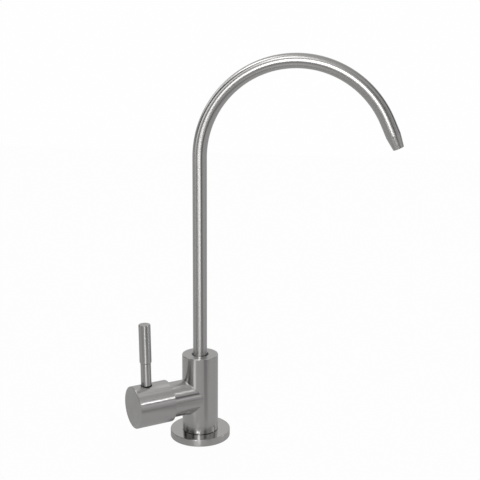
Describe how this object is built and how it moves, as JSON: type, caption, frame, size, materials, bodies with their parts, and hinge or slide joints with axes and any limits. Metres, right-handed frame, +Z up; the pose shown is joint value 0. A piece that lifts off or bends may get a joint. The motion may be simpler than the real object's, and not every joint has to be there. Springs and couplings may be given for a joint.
{
  "type": "drinking water filter tap",
  "caption": "Deck-mounted filtered-water tap: slim swivel gooseneck spout with a conical nozzle, round body on a base flange, and a quarter-turn pin lever on a side hub.",
  "frame": {"origin": "centre of the base flange's underside, on the face of the sink deck", "axes": "+Z up the riser, +X the way the spout points at rest; the side arm points to azimuth 220.3 degrees; everything under the deck has negative Z"},
  "size_m": [0.1872, 0.067, 0.3278],
  "materials": {
    "nickel_body": "brushed nickel, drawn round the column",
    "nickel_flange": "brushed nickel, turned rings on the top",
    "nickel_spout": "brushed nickel, fine scratches round the tube",
    "nickel_hub": "brushed nickel, satin",
    "nickel_lever": "brushed nickel, satin",
    "brass": "machined",
    "steel": "zinc plated",
    "rubber": "matt moulded",
    "nylon": "moulded",
    "ceramic": "lapped"
  },
  "bodies": {
    "root": {"valve_body": "nickel_body", "base_flange": "nickel_flange", "flange_gasket": "rubber", "threaded_shank": "brass", "shank_o_ring": "rubber", "cartridge_housing": "brass", "cartridge_nut": "brass", "cartridge_o_ring": "rubber", "fixed_disc": "ceramic", "seat_seal": "rubber", "spout_guide_bush": "nylon"},
    "spout": {"spout_tube": "nickel_spout", "spout_end_fitting": "brass", "spout_o_rings": "rubber", "spout_snap_ring": "steel"},
    "handle": {"handle_hub": "nickel_hub", "handle_grub_screw": "steel", "lever_stem": "nickel_lever", "lever_grip": "nickel_lever", "cartridge_spindle": "brass", "spindle_o_ring": "rubber", "spindle_circlip": "steel", "moving_disc": "ceramic"},
    "deck_washers": {"rubber_washer": "rubber", "steel_washer": "steel"},
    "deck_nut": {"lock_nut": "brass"}
  },
  "joints": [
    {"name": "spout_swivel", "type": "hinge", "parent": "root", "child": "spout", "pos_m": [0, 0, 0.0504], "axis": [0, 0, 1], "continuous": true},
    {"name": "handle_turn", "type": "hinge", "parent": "root", "child": "handle", "pos_m": [0, 0, 0.0315], "axis": [0.7627, 0.6468, 0], "range_deg": [0, 90]},
    {"name": "fixing_travel", "type": "slide", "parent": "root", "child": "deck_washers", "axis": [0, 0, 1], "range_m": [-0.01, 0.018]},
    {"name": "nut_turn", "type": "hinge", "parent": "deck_washers", "child": "deck_nut", "pos_m": [0, 0, -0.0277], "axis": [0, 0, 1], "range_deg": [-3402, 6123]}
  ],
  "couplings": [
    {"joint": "nut_turn", "follows": "fixing_travel", "rad_per_m": 5936.9}
  ]
}
